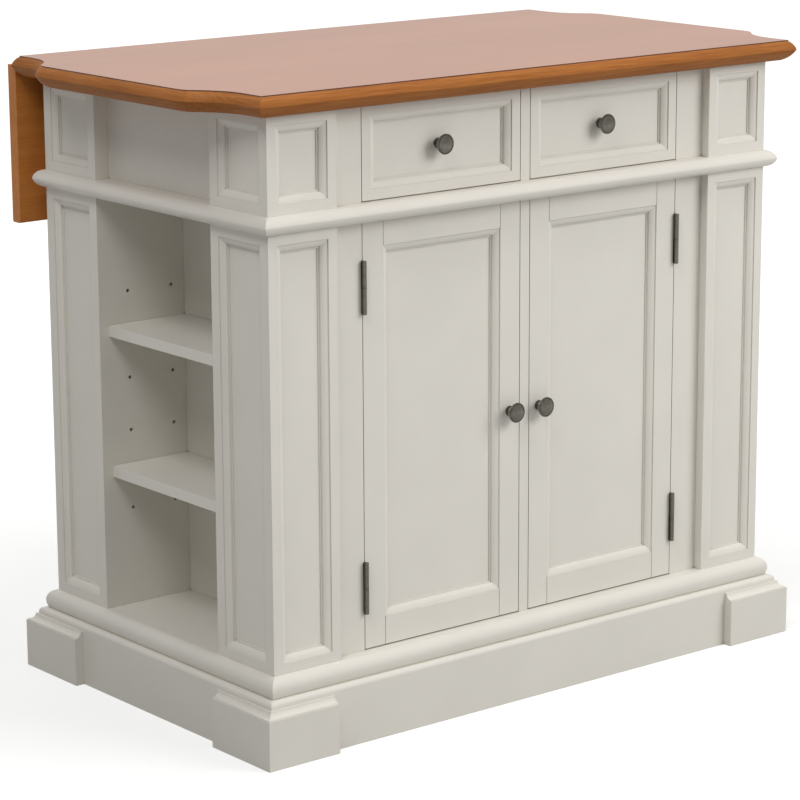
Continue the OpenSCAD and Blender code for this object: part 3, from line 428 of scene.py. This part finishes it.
class IslandFinish(bpy.types.PropertyGroup):
    """Colours of the paint and the metals"""
    paint: bpy.props.FloatVectorProperty(
        name="Paint", description="Antique white lacquer of the cabinet", subtype="COLOR",
        size=3, min=0, max=1, default=linear("#DEDAD1"))
    # Colour of the painted shade in corners and where boards meet.
    crevice_shade: bpy.props.FloatVectorProperty(
        name="Crevice", description="Tint of the paint where boards meet", subtype="COLOR",
        size=3, min=0, max=1, default=linear("#CFC9BD"))
    pewter: bpy.props.FloatVectorProperty(
        name="Pewter", description="Plating of the knobs and door hinges", subtype="COLOR",
        size=3, min=0, max=1, default=linear("#66645C"))
    steel: bpy.props.FloatVectorProperty(
        name="Steel", description="Zinc plating of the hidden fittings", subtype="COLOR",
        size=3, min=0, max=1, default=linear("#B4B6B8"))


class IslandCamera(bpy.types.PropertyGroup):
    """Where the camera stands and how it looks at the island"""
    place: bpy.props.FloatVectorProperty(
        name="Place", description="Where the camera stands", subtype="TRANSLATION", size=3,
        unit="LENGTH", default=(-2.7986, -3.4624, 1.4288))
    yaw: bpy.props.FloatProperty(
        name="Yaw", description="Turn of the view to the right of straight ahead",
        subtype="ANGLE", default=math.radians(38.80))
    pitch: bpy.props.FloatProperty(
        name="Pitch", description="Tilt of the view below the horizon", subtype="ANGLE",
        default=math.radians(13.188))
    roll: bpy.props.FloatProperty(
        name="Roll", description="Turn of the view about its own axis", subtype="ANGLE",
        default=math.radians(-0.276))
    lens: bpy.props.FloatProperty(
        name="Lens", description="Focal length on a 36 mm sensor", default=137.4, min=20)


# ---------- operators ----------

class ISLAND_OT_paint(bpy.types.Operator):
    """Paints the cabinet, the doors and the drawer fronts"""
    bl_idname = "island.paint"
    bl_label = "Paint"

    def execute(self, context):
        finish = context.scene.island_finish
        paint = sprayed_lacquer("antique_white_lacquer", finish.paint, finish.crevice_shade)
        kept = set(STEEL_NODES + HINGE_NODES + BIRCH_NODES + WOOD_NODES) | set(KNOBS.values())
        for node in frame["nodes"]:
            if node not in kept:
                dress(node, paint)
        return {"FINISHED"}


class ISLAND_OT_wood(bpy.types.Operator):
    """Stains the worktop, its edge moulding, the leaf and the drawer boxes"""
    bl_idname = "island.wood"
    bl_label = "Wood"

    def execute(self, context):
        # Rotary cut birch, stained red brown and polished: nearly even, with a broad sheen.
        top = grain_wood("stained_birch_veneer", linear("#8F5733"), linear("#9F633B"), "X",
                         0.31, ring=0.01, strength=0.6)
        # Painted shade: the board's sawn side faces are made dark brown, as a dark line in the
        # gap beside the moulding.
        gap_shade = grain_wood("board_edge_painted_shade", linear("#4A2410"), linear("#5A2E16"), "X", 0.5)
        dress("worktop_board", top, gap_shade, lambda p: abs(p.normal.z) < 0.5)
        # Milled beech with a wiped stain: warm and satin, with painted shade in its joints.
        lengths = [grain_wood("stained_beech_moulding_" + along, linear("#8A5026"),
                              linear("#AE7038"), along, 0.6, ring=0.004, strength=0.8,
                              sheen=0.15, joint_shade_reach=0.004)
                   for along in "XY"]
        low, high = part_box("worktop_board")
        middle = (low.y + high.y) / 2
        corner_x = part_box("drop_leaf")[1].x

        def on_the_end(p):
            """True beyond the mitres, which slant outward from the surface's corners."""
            return abs(p.center.x) - corner_x > abs(p.center.y - middle) - (high.y - middle)

        dress("worktop_edging", lengths[0], lengths[1], on_the_end)
        # Planed beech with the same stain: plain long grain, a little lighter.
        leaf = grain_wood("stained_beech_leaf", linear("#B0642A"), linear("#D08A42"), "X",
                          0.45, ring=0.012, strength=0.5, sheen=0.2)
        # Birch ply under clear lacquer: pale, with fine even grain.
        birch = grain_wood("clear_birch", linear("#C9A878"), linear("#DDC298"), "Y", 0.45)
        dress("drop_leaf", leaf)
        for node in BIRCH_NODES:
            dress(node, birch)
        return {"FINISHED"}


class ISLAND_OT_metal(bpy.types.Operator):
    """Plates the hinges, the knobs and the hidden fittings"""
    bl_idname = "island.metal"
    bl_label = "Metal"

    def execute(self, context):
        finish = context.scene.island_finish
        pewter = antique_pewter("antique_pewter_plating", finish.pewter)
        steel = finished_steel("zinc_plated_steel", finish.steel)
        for node in HINGE_NODES + list(KNOBS.values()):
            dress(node, pewter)
        for node in STEEL_NODES:
            dress(node, steel)
        return {"FINISHED"}


class ISLAND_OT_screws(bpy.types.Operator):
    """Puts screw heads on the hinges, the brackets, the catches and behind the knobs"""
    bl_idname = "island.screws"
    bl_label = "Screws"

    def execute(self, context):
        pewter = bpy.data.materials["antique_pewter_plating"]
        steel = bpy.data.materials["zinc_plated_steel"]
        for node, body, ways, count, radius, rise in SCREWS:
            bm = bmesh.new()
            for way in map(Vector, ways):
                for box in flat_faces(node, way):
                    # Of two ways, a hinge shows the one that looks at the cabinet's middle.
                    if len(ways) == 1 or way.x * box[0].x < 0:
                        screw_row(bm, box, way, count, radius * MM, rise * MM)
            plated = node in HINGE_NODES
            piece("screws_of_" + node, bm, pewter if plated else steel, body,
                  smooth=False)

        # A machine screw holds each knob from inside.
        for body, node in KNOBS.items():
            low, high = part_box(node)
            middle = (low + high) / 2
            bm = bmesh.new()
            screw_head(bm, Vector((middle.x, high.y, middle.z)), Vector((0, 1, 0)),
                       KNOB_SCREW_RADIUS, KNOB_SCREW_RISE)
            piece("knob_screw_of_" + body, bm, steel, body, smooth=False)
        return {"FINISHED"}


class ISLAND_OT_catches(bpy.types.Operator):
    """Adds the doors' strikes, the catches' magnets and the washers in the door hinges"""
    bl_idname = "island.catches"
    bl_label = "Catches"

    def execute(self, context):
        steel = bpy.data.materials["zinc_plated_steel"]
        black = finished_steel("black_oxide_steel", linear("#2A2A28"))
        # A thin strike on each door meets its catch.
        for body, ends in (("left_door", (-STRIKE_FAR, -STRIKE_NEAR)),
                           ("right_door", (STRIKE_NEAR, STRIKE_FAR))):
            bm = bmesh.new()
            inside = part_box(body + "_frame")[1]
            eased_plate(bm,
                        Vector((ends[0], inside.y - STRIKE_SUNK, inside.z - STRIKE_BOTTOM)),
                        Vector((ends[1], inside.y + STRIKE_PROUD, inside.z - STRIKE_TOP)),
                        STRIKE_EASE)
            piece("strike_of_" + body, bm, steel, body, smooth=False)

        # Black washers part the knuckles of each door hinge at half height.
        bm = bmesh.new()
        for joint in frame["joints"]:
            if joint["name"] in ("left_door_hinge", "right_door_hinge"):
                node = joint["child"] + "_hinge_halves"
                x, y, _ = joint["pos_m"]
                for solid in solids(node):
                    low, high = box_of(node, solid)
                    washer(bm, Vector((x, y, (low.z + high.z) / 2)), WASHER_INNER,
                           WASHER_OUTER, WASHER_HEIGHT)
        piece("hinge_washers", bm, black, "cabinet")

        # The magnet of each catch is a black block in its face.
        bm = bmesh.new()
        for low, high in flat_faces("door_catches", Vector((0, -1, 0))):
            eased_plate(bm,
                        Vector((low.x + MAGNET_INSET, low.y - MAGNET_PROUD,
                                low.z + MAGNET_BOTTOM)),
                        Vector((high.x - MAGNET_INSET, low.y + MAGNET_DEPTH,
                                low.z + MAGNET_TOP)),
                        MAGNET_EASE)
        piece("catch_magnets", bm, black, "cabinet", smooth=False)
        return {"FINISHED"}


def area_light(name, place, target, size, watts, mirrored):
    """A soft box at `place` that looks at `target`, and may be left out of reflections."""
    lamp = bpy.data.lights.new(name, "AREA")
    lamp.shape = "RECTANGLE"
    lamp.size, lamp.size_y = size
    lamp.energy = watts
    holder = bpy.data.objects.new(name, lamp)
    holder.location = place
    holder.visible_glossy = mirrored
    look = Vector(target) - Vector(place)
    holder.rotation_mode = "QUATERNION"
    holder.rotation_quaternion = look.to_track_quat("-Z", "Y")
    bpy.context.scene.collection.objects.link(holder)


class ISLAND_OT_stage(bpy.types.Operator):
    """Makes the floor, the soft boxes, the white surround and the camera"""
    bl_idname = "island.stage"
    bl_label = "Stage"

    def execute(self, context):
        scene = context.scene
        bm = bmesh.new()
        bmesh.ops.create_grid(bm, x_segments=1, y_segments=1, size=FLOOR_REACH)
        mesh = bpy.data.meshes.new("floor")
        bm.to_mesh(mesh)
        bm.free()
        floor = bpy.data.objects.new("floor", mesh)
        floor.data.materials.append(paper_floor("studio_paper"))
        scene.collection.objects.link(floor)

        for name, place, target, size, watts, mirrored in LAMPS:
            area_light(name, place, target, size, watts, mirrored)

        world = bpy.data.worlds.new("white_surround")
        scene.world = world
        world.use_nodes = True
        tree = world.node_tree
        tree.nodes.clear()
        # White where it is seen, and a dimmer light on the object.
        strength = add(tree, "ShaderNodeMapRange",
                       {"Value": seen_rays(tree), "To Min": 0.21, "To Max": 1.0})
        sky = add(tree, "ShaderNodeBackground",
                  {"Color": (1, 1, 1), "Strength": strength.outputs["Result"]})
        add(tree, "ShaderNodeOutputWorld", {"Surface": sky.outputs["Background"]})

        view = scene.island_camera
        data = bpy.data.cameras.new("camera")
        data.sensor_width = SENSOR_WIDTH
        data.lens = view.lens
        data.clip_end = CLIP_END
        camera = bpy.data.objects.new("camera", data)
        cos_p, sin_p = math.cos(view.pitch), math.sin(view.pitch)
        ahead = Vector((math.sin(view.yaw) * cos_p, math.cos(view.yaw) * cos_p, -sin_p))
        right = Vector((math.cos(view.yaw), -math.sin(view.yaw), 0))
        up = right.cross(ahead)
        turn = Matrix.Rotation(view.roll, 3, -ahead)
        axes = Matrix((turn @ right, turn @ up, -ahead)).transposed()
        camera.matrix_world = Matrix.Translation(view.place) @ axes.to_4x4()
        scene.collection.objects.link(camera)
        scene.camera = camera
        scene.view_settings.view_transform = "Standard"
        return {"FINISHED"}


class ISLAND_PT_sidebar(bpy.types.Panel):
    """Finishes of the island and the camera that looks at it"""
    bl_idname = "ISLAND_PT_sidebar"
    bl_label = "Kitchen Island"
    bl_space_type = "VIEW_3D"
    bl_region_type = "UI"
    bl_category = "Island"

    def draw(self, context):
        for group in (context.scene.island_finish, context.scene.island_camera):
            for name in group.__annotations__:
                self.layout.prop(group, name)
        for operator in OPERATORS:
            self.layout.operator(operator.bl_idname)


OPERATORS = [ISLAND_OT_paint, ISLAND_OT_wood, ISLAND_OT_metal, ISLAND_OT_screws,
             ISLAND_OT_catches, ISLAND_OT_stage]
CLASSES = [IslandFinish, IslandCamera, *OPERATORS, ISLAND_PT_sidebar]


def register():
    for cls in CLASSES:
        bpy.utils.register_class(cls)
    bpy.types.Scene.island_finish = bpy.props.PointerProperty(type=IslandFinish)
    bpy.types.Scene.island_camera = bpy.props.PointerProperty(type=IslandCamera)


def unregister():
    del bpy.types.Scene.island_camera
    del bpy.types.Scene.island_finish
    for cls in reversed(CLASSES):
        bpy.utils.unregister_class(cls)


def main():
    register()
    bpy.ops.island.paint()
    bpy.ops.island.wood()
    bpy.ops.island.metal()
    bpy.ops.island.screws()
    bpy.ops.island.catches()
    bpy.ops.island.stage()


if __name__ == "__main__":
    main()
